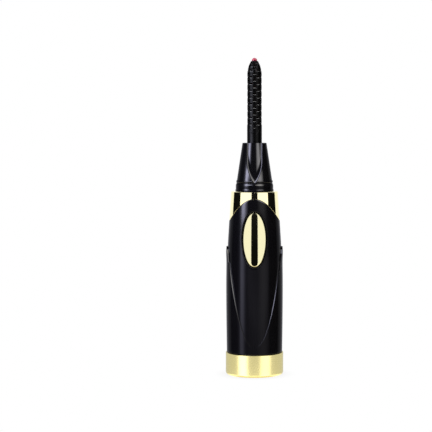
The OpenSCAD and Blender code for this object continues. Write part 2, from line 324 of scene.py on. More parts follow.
class Look:
    """A Principled material with the few node patterns that the pieces share."""

    def __init__(self, name, color, roughness, metallic=0.0, **sockets):
        self.mat = bpy.data.materials.new(name)
        self.mat.use_nodes = True
        self.tree = self.mat.node_tree
        self.shader = self.tree.nodes["Principled BSDF"]
        self.shader.inputs["Base Color"].default_value = (*color, 1)
        self.shader.inputs["Roughness"].default_value = roughness
        self.shader.inputs["Metallic"].default_value = metallic
        for socket, value in sockets.items():
            self.shader.inputs[socket.replace("_", " ")].default_value = value
        self.place = self.node("ShaderNodeTexCoord").outputs["Object"]
        self.last_normal = None

    def node(self, kind, **settings):
        return add_node(self.tree, kind, **settings)

    def link(self, source, target):
        self.tree.links.new(source, target)

    def noise(self, size_mm, detail=3, stretch=(1, 1, 1)):
        """Noise whose features are about size_mm across, stretched along the axes."""
        mapping = self.node("ShaderNodeMapping")
        mapping.inputs["Scale"].default_value = stretch
        self.link(self.place, mapping.inputs["Vector"])
        texture = self.node("ShaderNodeTexNoise")
        texture.inputs["Scale"].default_value = 1 / (size_mm * MM)
        texture.inputs["Detail"].default_value = detail
        self.link(mapping.outputs["Vector"], texture.inputs["Vector"])
        return texture.outputs["Fac"]

    def spread(self, value, low, high):
        """A noise, which lies mostly from 0.3 to 0.7, spread over low to high."""
        return map_range(self.tree, value, 0.3, 0.7, low, high)

    def vary_roughness(self, low, high, size_mm, stretch=(1, 1, 1)):
        value = self.spread(self.noise(size_mm, stretch=stretch), low, high)
        self.link(value, self.shader.inputs["Roughness"])
        return self

    def vary_color(self, first, second, size_mm, stretch=(1, 1, 1)):
        mix = self.node("ShaderNodeMix", data_type="RGBA")
        mix.inputs["A"].default_value = (*first, 1)
        mix.inputs["B"].default_value = (*second, 1)
        self.link(self.spread(self.noise(size_mm, stretch=stretch), 0, 1), mix.inputs["Factor"])
        self.link(mix.outputs["Result"], self.shader.inputs["Base Color"])
        return self

    def bump(self, size_mm, height_mm, strength=1.0, stretch=(1, 1, 1), detail=3):
        made = self.node("ShaderNodeBump")
        made.inputs["Strength"].default_value = strength
        made.inputs["Distance"].default_value = height_mm * MM
        self.link(self.noise(size_mm, detail, stretch), made.inputs["Height"])
        if self.last_normal is not None:
            self.link(self.last_normal, made.inputs["Normal"])
        self.last_normal = made.outputs["Normal"]
        self.link(self.last_normal, self.shader.inputs["Normal"])
        return self


def body_black():
    look = Look("body_black", (0.003, 0.003, 0.0036), 0.1, IOR=1.5)
    look.vary_roughness(0.085, 0.12, 9)
    look.vary_color((0.0026, 0.0025, 0.0032), (0.0036, 0.0035, 0.0042), 14)
    return look.bump(0.9, 0.0012).bump(0.16, 0.0004).mat


def comb_black():
    look = Look("comb_black", (0.0025, 0.0025, 0.003), 0.22, IOR=1.5)
    look.vary_roughness(0.18, 0.27, 2.5)
    look.vary_color((0.0022, 0.0022, 0.0026), (0.0036, 0.0034, 0.004), 3)
    return look.bump(0.12, 0.002).mat


def gold_mirror():
    look = Look("gold_mirror", (0.97, 0.91, 0.565), 0.05, 1.0)
    look.vary_roughness(0.035, 0.07, 4, (1, 1, 0.4))
    look.vary_color((0.97, 0.915, 0.57), (0.96, 0.9, 0.55), 8)
    return look.bump(1.6, 0.0006).mat


def gold_satin():
    look = Look("gold_satin", (0.96, 0.85, 0.4), 0.26, 1.0)
    look.vary_roughness(0.25, 0.28, 1.2, (1, 1, 4))
    look.vary_color((0.96, 0.855, 0.41), (0.95, 0.84, 0.39), 6)
    return look.bump(0.08, 0.0006, stretch=(1, 1, 3)).mat


def silicone_red():
    """Translucent red silicone with painted shade: its colour goes dark where the comb closes round it."""
    look = Look("silicone_red", (0.62, 0.07, 0.13), 0.28, Subsurface_Weight=0.2,
                Subsurface_Scale=0.8 * MM, Coat_Weight=0.25, Coat_Roughness=0.2)
    look.shader.inputs["Subsurface Radius"].default_value = (1.0, 0.25, 0.3)
    look.vary_color((0.64, 0.08, 0.14), (0.58, 0.055, 0.11), 1.5)
    bright = look.shader.inputs["Base Color"].links[0].from_socket
    # painted shade: ambient occlusion mixes the colour towards near black inside the comb's slits
    open_air = look.node("ShaderNodeAmbientOcclusion")
    open_air.inputs["Distance"].default_value = 2 * MM
    shade = look.node("ShaderNodeMix", data_type="RGBA")
    shade.inputs["A"].default_value = (0.03, 0.002, 0.005, 1)
    look.link(map_range(look.tree, open_air.outputs["AO"], 0.45, 0.85), shade.inputs["Factor"])
    look.link(bright, shade.inputs["B"])
    look.link(shade.outputs["Result"], look.shader.inputs["Base Color"])
    return look.bump(0.2, 0.002).mat


def moulded(name, color, roughness, grain_mm=0.15):
    """Matt moulded plastic with a fine spark-eroded grain."""
    dark = tuple(c * 0.85 for c in color)
    look = Look(name, color, roughness)
    look.vary_roughness(roughness - 0.06, roughness + 0.06, 2)
    look.vary_color(color, dark, 5)
    return look.bump(grain_mm, 0.004).mat


def rubber_black():
    look = Look("rubber_black", (0.012, 0.012, 0.012), 0.6)
    look.vary_roughness(0.5, 0.7, 1)
    look.vary_color((0.012, 0.012, 0.012), (0.022, 0.021, 0.02), 1.2)
    return look.bump(0.08, 0.003).mat


def plated_steel(name, color, low, high):
    look = Look(name, color, low, 1.0)
    look.vary_roughness(low, high, 0.8, (1, 1, 3))
    look.vary_color(color, tuple(c * 0.86 for c in color), 1.5)
    return look.bump(0.1, 0.0008, stretch=(1, 1, 4)).mat


def ceramic_white():
    look = Look("ceramic_white", (0.82, 0.81, 0.77), 0.55)
    look.vary_color((0.84, 0.83, 0.79), (0.76, 0.75, 0.70), 0.6)
    return look.vary_roughness(0.45, 0.65, 0.5).bump(0.06, 0.003).mat


def board_green():
    """Solder mask over a faint woven glass cloth, with pale copper areas under it."""
    look = Look("board_green", (0.012, 0.13, 0.05), 0.3)
    look.vary_color((0.008, 0.10, 0.035), (0.03, 0.20, 0.07), 1.6)
    return look.vary_roughness(0.22, 0.36, 0.7).bump(0.25, 0.004, stretch=(1, 1, 2)).mat


def cell_jacket():
    """Printed film: a dark body with a copper-coloured band at the positive end, and fine stripes."""
    dark, silver, copper = (0.03, 0.045, 0.06), (0.55, 0.56, 0.58), (0.62, 0.30, 0.12)
    look = Look("cell_jacket", dark, 0.25, 0.2, Coat_Weight=0.5)
    height = look.node("ShaderNodeSeparateXYZ")
    look.link(look.place, height.inputs["Vector"])
    along = map_range(look.tree, height.outputs["Z"], CELL_LOW * MM, CELL_TOP * MM)
    ramp = look.node("ShaderNodeValToRGB")
    ramp.color_ramp.interpolation = "CONSTANT"
    set_stops(ramp.color_ramp, [(0, dark), (0.055, silver), (0.07, dark), (0.70, silver), (0.715, copper)])
    look.link(along, ramp.inputs["Fac"])
    look.link(ramp.outputs["Color"], look.shader.inputs["Base Color"])
    look.vary_roughness(0.2, 0.3, 3)
    return look.bump(1.2, 0.002).mat


LOOKS = {
    "comb_black": comb_black(),
    "body_black": body_black(),
    "gold_mirror": gold_mirror(),
    "gold_satin": gold_satin(),
    "silicone_red": silicone_red(),
    "ceramic_white": ceramic_white(),
    "bush_ivory": moulded("bush_ivory", (0.72, 0.66, 0.52), 0.5),
    "lead_red": moulded("lead_red", (0.50, 0.03, 0.03), 0.4),
    "plug_black": moulded("plug_black", (0.02, 0.02, 0.021), 0.42),
    "seal_rubber": rubber_black(),
    "contact_steel": plated_steel("contact_steel", (0.66, 0.64, 0.60), 0.18, 0.32),
    "cell_jacket": cell_jacket(),
    "carrier_grey": moulded("carrier_grey", (0.30, 0.32, 0.35), 0.5),
    "board_green": board_green(),
    "plunger_red": moulded("plunger_red", (0.35, 0.03, 0.03), 0.35),
    "chip_black": moulded("chip_black", (0.02, 0.02, 0.022), 0.5, 0.08),
    "resistor_dark": moulded("resistor_dark", (0.05, 0.05, 0.055), 0.35, 0.06),
    "capacitor_tan": moulded("capacitor_tan", (0.45, 0.30, 0.15), 0.4, 0.06),
    "screw_steel": plated_steel("screw_steel", (0.55, 0.56, 0.58), 0.2, 0.35),
}


def dress_frame():
    """Gives every CAD node the material of its slot."""
    slots = {part["node"]: part["material_slot"] for part in frame["record"]["subparts"]}
    for node, piece in frame["nodes"].items():
        piece.data.materials.clear()
        piece.data.materials.append(LOOKS[slots[node]])


# -------- body shell


def shell_rows(angle):
    """Outer rows of the shell from the bottom up, as (radius, height), and the first and the last row,
    plus one, of the field between the panels' seam and the arch, where the opening is cut."""
    rounding, step_half, edge, panel_rows, field_rows = 0.22, 0.075, 0.14, 44, 112
    mean_r = 12.3
    step_z = meet(panel_edge_z, panel_r, angle)
    top_z = meet(arch_z, front_r, angle)
    around = np.concatenate([step_z[-1:], step_z, step_z[:1]])
    slope = np.gradient(around)[1:-1] / (2 * np.pi / len(angle) * mean_r)
    reach = np.sqrt(1 + slope ** 2)
    rows = []
    for a in np.radians([0, 30, 60]):
        z = SHELL_LOW + rounding * (1 - math.cos(a))
        rows.append((panel_r(z) - rounding * (1 - math.sin(a)), z))
    low_z = SHELL_LOW + rounding
    foot_z = np.maximum(step_z - step_half * reach, low_z + 0.1)
    for t in np.linspace(0, 1, panel_rows)[:-1]:
        z = low_z + (foot_z - low_z) * t
        rows.append((panel_r(z), z))
    # the seam is a fine groove along the panels' edge, and it fades out where the edge turns upright
    head_z = np.minimum(step_z + step_half * reach, top_z - 1)
    fade = smooth_step(np.clip((SEAM_END_X - np.abs(CAP_R * np.sin(angle))) / SEAM_FADE, 0, 1))
    rows.append((panel_r(foot_z), foot_z))
    z = foot_z + SEAM_BEVEL * reach
    rows.append((panel_r(z) - SEAM_BEVEL * fade, z))
    z = (foot_z + head_z) / 2
    rows.append((np.minimum(panel_r(z), front_r(z)) - SEAM_DEPTH * fade, z))
    field = len(rows)
    for t in np.linspace(0, 1, field_rows):
        z = head_z + (top_z - edge - head_z) * t
        rows.append((front_r(z), z))
    field_end = len(rows)
    for a in np.radians([30, 60, 90]):
        z = top_z - edge * (1 - math.sin(a))
        rows.append((front_r(z) - edge * (1 - math.cos(a)), z))
    return rows, field, field_end


def cut_oval(points, grow):
    """Moves the field's points that are nearest to the oval on to it. Gives each point's state, which is
    2 inside the oval, 1 on it and 0 outside, and its angle round the oval."""
    near = 0.52
    x, y, z = points[..., 0], points[..., 1], points[..., 2]
    a, b = BUTTON_A + grow, BUTTON_B + grow
    s = np.sqrt((x / a) ** 2 + ((z - BUTTON_Z) / b) ** 2)
    front = y < 0
    gx, gz = x / (a * a * s), (z - BUTTON_Z) / (b * b * s)
    steep = np.hypot(gx, gz)
    distance = (s - 1) / steep
    wide = np.abs(np.gradient(x, axis=1))
    tall = np.abs(np.gradient(z, axis=0))
    reach = near * (np.abs(gx) / steep * wide + np.abs(gz) / steep * tall)
    state = np.where((s < 1) & front, 2, 0)
    state[(np.abs(distance) < reach) & front] = 1
    turn = np.arctan2((z - BUTTON_Z) / b, x / a)
    on = state == 1
    points[on] = on_front(a * np.cos(turn[on]), BUTTON_Z + b * np.sin(turn[on]), front_r)
    return state, turn


def kept_faces(state):
    """Faces of a closed grid, without what lies inside the oval."""
    rows, columns = state.shape
    faces = []
    for i in range(rows):
        for j in range(columns):
            above, beside = (i + 1) % rows, (j + 1) % columns
            quad = [(i, j), (i, beside), (above, beside), (above, j)]
            marks = [state[corner] for corner in quad]
            whole = 2 not in marks and marks.count(1) < 4
            if whole or (0 in marks and marks.count(2) < 2):
                kept = [corner for corner in quad if state[corner] != 2]
                faces.append(tuple(row * columns + column for row, column in kept))
    return faces


def rim_point(turn, grow, depth):
    x = (BUTTON_A + grow) * math.cos(turn)
    z = BUTTON_Z + (BUTTON_B + grow) * math.sin(turn)
    return on_front(x, z, lambda height: front_r(height) - depth)


def body_shell():
    """A grid that goes up outside and down inside; the opening's rolled rim joins its two sides."""
    columns = 264
    angle = np.linspace(0, 2 * np.pi, columns, endpoint=False)
    rows, field, field_end = shell_rows(angle)
    outer = [round_point(angle, r, z) for r, z in rows]
    block = np.stack(outer[field:field_end])
    state, turn = cut_oval(block, OPENING_GROW)
    inner = []
    for row in block:
        at = np.arctan2(row[:, 0], -row[:, 1])
        inner.append(round_point(at, bore_r(row[:, 2]), row[:, 2]))
    top_z = meet(arch_z, bore_r, angle)
    inner[-1] = round_point(angle, bore_r(top_z), top_z)
    inner_low = [round_point(angle, BORE_R, z) for _, z in rows[3:field]]
    foot = round_point(angle, BORE_R, SHELL_LOW)
    chain = outer[:field] + list(block) + outer[field_end:] + inner[::-1] + inner_low[::-1] + [foot]
    points = np.concatenate(chain)
    grid_state = np.zeros((len(chain), columns), int)
    grid_state[field:field_end] = state
    grid_state[len(outer):len(outer) + len(inner)] = state[::-1]
    faces = kept_faces(grid_state)

    edges = [pair for face in faces for pair in zip(face, face[1:] + face[:1])]
    known = set(edges)
    border = [(p, q) for p, q in edges if (q, p) not in known and p // columns < field_end]
    ladder, added = {}, []
    for p in sorted({p for pair in border for p in pair}):
        row, column = divmod(p, columns)
        first = len(points) + len(added)
        added += [rim_point(turn[row - field, column], grow, depth) for grow, depth in OPENING_RIM]
        under = (len(outer) + field_end - 1 - row) * columns + column
        ladder[p] = [p, *range(first, first + len(OPENING_RIM)), under]
    points = np.concatenate([points, np.array(added)])
    for p, q in border:
        for k in range(len(OPENING_RIM) + 1):
            faces.append((ladder[q][k], ladder[p][k], ladder[p][k + 1], ladder[q][k + 1]))
    new_piece("shell", points, faces, "housing", "body_black", ["body_shell"], 42)


# -------- push button


def power_button():
    """Oval gold button whose face follows the shell and rolls over at its edge."""
    proud, edge, count = 0.38, 0.4, 128
    turn = np.linspace(0, 2 * np.pi, count, endpoint=False)

    def ring(inset, depth, scale=1.0):
        x = (BUTTON_A - inset) * scale * np.cos(turn)
        z = BUTTON_Z + (BUTTON_B - inset) * scale * np.sin(turn)
        return on_front(x, z, lambda h: front_r(h) + proud - depth)

    rows = []
    back = ring(0, 0)
    back[:, 1] = BUTTON_BACK
    for scale in (0.35, 0.7):
        flat = ring(0, 0, scale)
        flat[:, 1] = BUTTON_BACK
        rows.append(flat)
    rows.append(back)
    for t in (0.33, 0.66):
        side = ring(0, edge)
        side[:, 1] = BUTTON_BACK + (side[:, 1] - BUTTON_BACK) * t
        rows.append(side)
    for a in np.radians(np.linspace(0, 90, 9)):
        rows.append(ring(edge * (1 - math.cos(a)), edge * (1 - math.sin(a))))
    for scale in np.linspace(1, 0, 14)[1:-1]:
        rows.append(ring(edge, 0, scale))
    points = np.concatenate(rows)
    faces = ring_faces(len(rows), count)
    centre = (0, -front_r(BUTTON_Z) - proud, BUTTON_Z)
    points = add_fans(points, faces, count, (0, BUTTON_BACK, BUTTON_Z), centre)
    faces = [tuple(reversed(face)) for face in faces]
    new_piece("button", points, faces, "button", "gold_mirror", ["power_button"], 50)


# -------- gold ring


def gold_ring():
    """Skin flush with the shell above the arch, a rounded shoulder, and a tongue behind the shell."""
    columns, gap, shoulder, edge, bevel = 264, 0.08, 0.28, 0.05, 0.03
    wall, tongue_gap, tongue_low = 2.3, 1.35, 69.0
    notch_top, notch_half, tongue_r = 76.0, 7, 9
    seat_r, seat_depth = LIP_R - 0.8, 1.3
    angle = np.linspace(0, 2 * np.pi, columns, endpoint=False)
    start = meet(lambda x: arch_z(x) + gap, front_r, angle)
    notch = (np.abs(np.sin(angle)) * tongue_r < notch_half) & (np.cos(angle) > 0)
    foot = np.where(notch, notch_top, tongue_low)
    rows = [(front_r(foot) - wall, foot), (front_r(foot) - tongue_gap, foot),
            (front_r(start) - tongue_gap, np.maximum(start, foot + 0.02)), (front_r(start) - edge, start),
            (front_r(start + bevel) - bevel, start + bevel)]
    end = RING_TOP - shoulder
    for t in np.linspace(0, 1, 40):
        z = start + edge + (end - start - edge) * t
        rows.append((front_r(z), z))
    for a in np.radians(np.linspace(12, 90, 8)):
        r = front_r(end) - shoulder * (1 - math.cos(a)) - 0.02 * math.sin(a)
        rows.append((r, end + shoulder * math.sin(a)))
    rows += [(seat_r, RING_TOP), (seat_r, RING_TOP - seat_depth),
             (RING_TOP_R - wall - 0.05, RING_TOP - seat_depth - 0.1)]
    points = np.concatenate([round_point(angle, r, z) for r, z in rows])
    faces = ring_faces(len(rows), columns, closed=True)
    new_piece("ring", points, faces, "housing", "gold_mirror", ["gold_ring"], 45)


# -------- nose cone

CONE_FOOT_Z, CONE_FOOT_R, CONE_TIP_R = 85.85, 7.75, 5.3
# (height, radius) up the collar: its foot in the ring, the lip, the plain band, the groove and the ridge
COLLAR_LINE = [
    (NOSE_LOW, 7.6), (RING_TOP + 0.05, 7.6), (RING_TOP + 0.05, LIP_R - 0.1),
    (RING_TOP + 0.12, LIP_R), (RING_TOP + 0.16, LIP_R), (81.7, LIP_R), (81.78, LIP_R), (81.79, LIP_R - 0.01),
    (81.81, 8.26), (81.84, 8.25), (82.5, 8.25), (83.3, 8.25), (83.65, 8.245), (83.85, 8.23), (83.98, 8.2),
    (84.08, 8.15), (84.15, 8.09), (84.25, 8.03), (84.35, 8.0), (84.65, 8.0),
    (84.7, 7.95), (84.75, 7.91), (85.0, 7.91), (85.05, 7.96),
    (85.12, 8.03), (85.2, 8.05), (85.6, 8.05), (85.7, 8.03), (85.78, 7.95), (CONE_FOOT_Z, CONE_FOOT_R)]


def cone_r(z):
    return CONE_FOOT_R + (CONE_TIP_R - CONE_FOOT_R) * (z - CONE_FOOT_Z) / (NOSE_TIP - CONE_FOOT_Z)


def scoop_half(z):
    """Half width of the scoops at a height."""
    u = np.clip((z - SCOOP_LOW) / SCOOP_CURVE_H, 0, 1)
    return SCOOP_HALF_W * (1 - (1 - u) ** 2) ** SCOOP_POWER


def scooped_r(z, r, angle):
    """Radius of the surface at a height where it is r across, with the scoops' floors and fillets."""
    depth, wide, narrow, narrow_z, narrowing_h, probe = 0.85, 1.7, 0.4, 98, 8, 0.05
    x = np.abs(r * np.sin(angle))
    slope = (scoop_half(z + probe) - scoop_half(z - probe)) / (2 * probe)
    inset = (scoop_half(z) - x) / math.sqrt(1 + slope * slope)
    fillet = narrow + (wide - narrow) * smooth_step(min(max((narrow_z - z) / narrowing_h, 0), 1))
    u = np.clip(inset / fillet, 0, 1)
    floor_r = cone_r(z) - depth * np.sqrt(1 - (1 - u) ** 2)
    return np.where(inset > 1e-6, np.minimum(r, floor_r), r)


def nose_cone():
    """Each row's columns are spaced so that two of them run along the scoop's edges."""
    least_half, inside, outside = 0.3, 28, 20
    tip_round, fine_top_z = 0.25, 92
    heights = np.concatenate([np.linspace(CONE_FOOT_Z, fine_top_z, 46)[1:],
                              np.linspace(fine_top_z, NOSE_TIP - tip_round, 34)[1:]])
    rounding = [(NOSE_TIP - tip_round * (1 - math.sin(a)), CONE_TIP_R - tip_round * (1 - math.cos(a)))
                for a in np.radians([20, 40, 60, 80, 90])]
    rows = []
    for z, r in COLLAR_LINE + [(z, cone_r(z)) for z in heights] + rounding:
        half = max(scoop_half(z), least_half)
        edge = math.asin(half / max(r, half + 1))
        wave = np.sin(np.linspace(-np.pi / 2, np.pi / 2, inside, endpoint=False))
        scoop = np.arcsin(np.sin(edge) * wave)
        land = np.linspace(edge, np.pi - edge, outside, endpoint=False)
        angle = np.concatenate([scoop, land, np.pi + scoop, np.pi + land])
        rows.append(round_point(angle, scooped_r(z, r, angle), z))
    top_angle = np.arctan2(rows[-1][:, 0], -rows[-1][:, 1])
    bore = COMB_R + 0.06
    for z, r in [(NOSE_TIP, bore + 0.12), (NOSE_TIP - 0.1, bore), (96, bore), (94, 4.2), (86, 5.9),
                 (83, 6.3), (NOSE_LOW, 6.3)]:
        rows.append(round_point(top_angle, r, z))
    points = np.concatenate(rows)
    faces = ring_faces(len(rows), rows[0].shape[0], closed=True)
    new_piece("nose", points, faces, "housing", "body_black", ["nose_cone"], 35)


# -------- comb head

DOME_LINE = [(COMB_LOW, COMB_R), (TOTAL_H - 9.6, COMB_R), (TOTAL_H - 7.4, 3.17), (TOTAL_H - 6.1, 3.1),
             (TOTAL_H - 5.2, 2.96), (TOTAL_H - 4.3, 2.71), (TOTAL_H - 3.4, 2.49), (TOTAL_H - 2.5, 2.06),
             (COMB_TOP, 1.55)]


def comb_slits():
    """Each slit row as (height, half height, first column, column step, width in parts of a full slit)."""
    first = TOTAL_H - 5.4
    rows = []
    for k in range(SLIT_ROWS):
        rows.append((first - SLIT_PITCH * k, SLIT_H / 2, 1, 2, 1.0))
        if k < SLIT_ROWS - 1:
            rows.append((first - SLIT_PITCH * (k + 0.5), SLIT_H / 2, 0, 2, 1.0))
    rows.append((first - SLIT_PITCH * (SLIT_ROWS - 0.5), 0.25, 0, 6, 0.67))
    rows.append((TOTAL_H - 4.7, 0.24, 0, 2, 0.67))
    rows.append((TOTAL_H - 3.6, 0.24, 0, 2, 0.34))
    return rows


def comb_angles():
    """Angles of the grid's columns: parts of a slit's width and of a web's, by turns."""
    half = SLIT_W / 2 / COMB_R
    web = 2 * math.pi / COMB_COLUMNS - 2 * half
    angle = []
    for k in range(COMB_COLUMNS):
        middle = k * 2 * math.pi / COMB_COLUMNS
        angle += [middle - half + 2 * half * s / SLIT_PARTS for s in range(SLIT_PARTS)]
        angle += [middle + half + web * s / WEB_PARTS for s in range(WEB_PARTS)]
    return np.array(angle)


def comb_heights(slits):
    """Heights of the grid's rows, which meet each slit's foot and top and the ledge below it."""
    fine, coarse, fine_low, fine_high = 0.12, 0.28, 105, 112
    marks = {COMB_LOW, COMB_TOP}
    for z, tall, *_ in slits:
        marks |= {z - tall - LEDGE_H, z - tall, z + tall}
    marks = sorted(marks)
    heights = []
    for low, high in zip(marks, marks[1:]):
        pitch = fine if fine_low < (low + high) / 2 < fine_high else coarse
        parts = 1 if high - low < 1.1 * LEDGE_H else max(1, round((high - low) / pitch))
        heights += [low + (high - low) * s / parts for s in range(parts)]
    return np.array(heights + [marks[-1]])


def slit_cells(slits, heights, columns):
    """Whether each cell, above a row and beyond a column, lies in a slit."""
    cells = np.zeros((len(heights) - 1, columns), bool)
    for i, z in enumerate((heights[:-1] + heights[1:]) / 2):
        for j in range(columns):
            column, part = divmod(j, SLIT_PARTS + WEB_PARTS)
            for level, tall, first, step, wide in slits:
                skip = round(SLIT_PARTS * (1 - wide) / 2)
                if abs(z - level) < tall and (column - first) % step == 0:
                    cells[i, j] = skip <= part < SLIT_PARTS - skip
                    break
    return cells


def slotted_faces(hole, n):
    """Faces of an outer and an inner grid of n columns, joined round each hole and at both ends."""
    rows = len(hole) + 1
    deep = rows * n
    faces = []
    for i in range(rows - 1):
        for j in range(n):
            k = (j + 1) % n
            a, b, c, d = i * n + j, i * n + k, (i + 1) * n + k, (i + 1) * n + j
            if not hole[i][j]:
                faces += [(a, b, c, d), (deep + d, deep + c, deep + b, deep + a)]
                continue
            walls = [(i - 1, j, a, b), (i + 1, j, c, d), (i, j - 1, d, a), (i, k, b, c)]
            faces += [(p, q, deep + q, deep + p) for row, column, p, q in walls if not hole[row][column]]
    last = (rows - 1) * n
    for j in range(n):
        k = (j + 1) % n
        faces += [(last + j, last + k, deep + last + k, deep + last + j), (k, j, deep + j, deep + k)]
    return faces


def comb_head():
    """Slotted tube: a grid whose lines run along the slits, with the slits' cells left out."""
    slits = comb_slits()
    angle, heights = comb_angles(), comb_heights(slits)
    n, rows = len(angle), len(heights)
    hole = slit_cells(slits, heights, n)
    dome = smooth_line(DOME_LINE)
    x = COMB_R * np.sin(angle)
    shoulder = SHOULDER_LOW + SHOULDER_RISE * x ** 2
    lean = np.sqrt(1 + (2 * SHOULDER_RISE * x * np.cos(angle)) ** 2)
    bore_z = [COMB_LOW, 106.5, 107.3, TOTAL_H - 6.2, TOTAL_H - 4, TOTAL_H - 2.4, COMB_TOP]
    cavity = np.interp(heights, bore_z, [2.2, 2.2, 2.1, 2.1, 1.6, 1.12, 1.2])
    outer = []
    for i, z in enumerate(heights):
        u = np.clip((z - shoulder) / lean / SHOULDER_H + 0.5, 0, 1)
        r = np.minimum(dome(z), COMB_R - SHOULDER_STEP * smooth_step(u))
        ledge = [i < rows - 1 and hole[i][j] and not hole[i - 1][j] for j in range(n)]
        dent = [ledge[j] or ledge[j - 1] for j in range(n)]
        outer.append(round_point(angle, r - LEDGE_DEPTH * np.array(dent), z))
    inner = [round_point(angle, r, z) for z, r in zip(heights, cavity)]
    points, faces = np.concatenate(outer + inner), slotted_faces(hole, n)
    piece = new_piece("comb", points, faces, "housing", "comb_black", ["comb_shell"], 40)
    bevel = piece.modifiers.new("soft_edges", "BEVEL")
    bevel.width = 0.12 * MM
    bevel.segments = 2
    bevel.limit_method = "ANGLE"
    bevel.angle_limit = math.radians(40)
    bevel.harden_normals = True


def heating_core():
    ball_r, neck_r, foot_z = 1.14, 0.9, 107.4
    ball_z = TOTAL_H - ball_r
    outline = [(0, foot_z), (1.7, foot_z), (1.86, foot_z + 0.1), (1.9, foot_z + 0.3), (1.9, TOTAL_H - 6.2),
               (1.84, TOTAL_H - 5.7), (1.5, TOTAL_H - 4.6), (1.15, TOTAL_H - 3.4), (0.95, TOTAL_H - 2.7),
               (neck_r, ball_z - 0.75), (neck_r, ball_z - 0.6)]
    outline += [(ball_r * math.cos(a), ball_z + ball_r * math.sin(a))
                for a in np.radians(np.linspace(-34, 84, 16))]
    outline.append((0, TOTAL_H))
    turned("core", outline, "housing", "silicone_red", ["heating_core"], 48, 60)


# -------- cap, cell and contacts


CAP_WALL = 1.1
SEAL_Z, SEAL_R, SEAL_WIRE_R = 14.3, 9.72, 0.55
WELL_FLOOR_Z = 3.8


def base_cap():
    inside_r = CAP_R - CAP_WALL
    outline = rounded_outline([(0, 0, 0), (CAP_R, 0, 1.25), (CAP_R, CAP_H, 0.22), (inside_r, CAP_H, 0.12),
                               (inside_r, CAP_WALL, 0.4), (0, CAP_WALL, 0)], 8)
    turned("cap", outline, "cap", "gold_satin", ["base_cap"], 160, 40)


def cap_plug():
    """A flange in the cap, a neck with the seal's groove, and a well for the contact cup."""
    foot, rim = CAP_WALL + 0.05, CAP_H - 0.1
    plug_r, flange_r, groove_r, well_r = 10.15, CAP_R - foot, 9.15, 7.55
    groove_low, groove_high = SEAL_Z - 0.8, SEAL_Z + 0.8
    outline = rounded_outline([(0, foot, 0), (flange_r, foot, 0.3), (flange_r, rim, 0.25),
                               (plug_r, rim, 0.15), (plug_r, groove_low, 0.1), (groove_r, groove_low, 0.1),
                               (groove_r, groove_high, 0.1), (plug_r, groove_high, 0.1),
                               (plug_r, PLUG_TOP, 0.45), (well_r, PLUG_TOP, 0.1),
                               (well_r, WELL_FLOOR_Z, 0.3), (0, WELL_FLOOR_Z, 0)], 4)
    turned("plug", outline, "cap", "plug_black", ["cap_plug"], 120)


def cap_seal():
    ring = [(SEAL_R + SEAL_WIRE_R * math.cos(a), SEAL_Z + SEAL_WIRE_R * math.sin(a))
            for a in np.linspace(0, 2 * np.pi, 20, endpoint=False)]
    turned("seal", ring, "cap", "seal_rubber", ["cap_seal"], 120, 60)


def contact_cup():
    r, brim, wall = 7.5, 1.75, 0.25
    low, high = WELL_FLOOR_Z + 0.05, PLUG_TOP + 0.05
    outline = rounded_outline([(0, low, 0), (r, low, 0.3), (r, high, 0.05), (r + brim, high, 0.05),
                               (r + brim, high + wall, 0.08), (r - wall, high + wall, 0.25),
                               (r - wall, low + wall, 0.15), (0, low + wall, 0)], 4)
    turned("cup", outline, "cap", "contact_steel", ["contact_cup"], 120)


def contact_spring():
    """A cone of wire that stands in the contact cup and ends just below the cell."""
    wire, turns, per_turn, foot_r, top_r = 0.35, 5, 36, 5.4, 3.6
    low, high = WELL_FLOOR_Z + 0.3 + wire + 0.02, CELL_LOW - wire - 0.05
    route = []
    for k in range(turns * per_turn + 1):
        t = k / (turns * per_turn)
        r = foot_r + (top_r - foot_r) * t
        a = 2 * math.pi * turns * t
        route.append((r * math.cos(a), r * math.sin(a), low + (high - low) * t))
    tube("spring", [route], wire, "cap", "contact_steel", ["contact_spring"], 12, (0, 0, 1))


def battery_cell():
    shoulder, end_r, nub_r = CELL_TOP - 0.8, CELL_R - 0.9, 1.9
    can = rounded_outline([(0, CELL_LOW, 0), (end_r, CELL_LOW, 0.1), (end_r, CELL_LOW + 0.25, 0.05),
                           (CELL_R, CELL_LOW + 0.25, 0.35), (CELL_R, shoulder, 0.45), (end_r, shoulder, 0.1),
                           (end_r, shoulder - 0.2, 0.1), (0, shoulder - 0.2, 0)], 5)
    turned("cell", can, "cell", "cell_jacket", ["battery_cell"], 96)
    nub = rounded_outline([(0, shoulder - 0.25, 0), (nub_r, shoulder - 0.25, 0.1), (nub_r, CELL_TOP, 0.3),
                           (0, CELL_TOP, 0)], 5)
    turned("cell_terminal", nub, "cell", "contact_steel", [], 48)


def heater_leads():
    """Two mirrored wires; each route is listed from the board, through the nose cone, to the heater."""
    right = [(1.5, -7.2, 72.4), (1.5, -6.8, 73.4), (1.5, -5.5, 74.6), (1.45, -4.8, 76.5), (1.4, -4, 78.5),
             (1.3, -3.1, 80.5), (1.15, -2.2, 82.5), (1, -1.4, 84.5), (0.8, -0.6, 87), (0.65, -0.2, 90),
             (0.6, 0, 93), (0.6, 0, 98.5)]
    left = [(-x, y, z) for x, y, z in right]
    routes = [smoothed_route(right, 3), smoothed_route(left, 3)]
    tube("leads", routes, 0.35, "housing", "lead_red", ["heater_leads"])


# -------- stage, light and camera


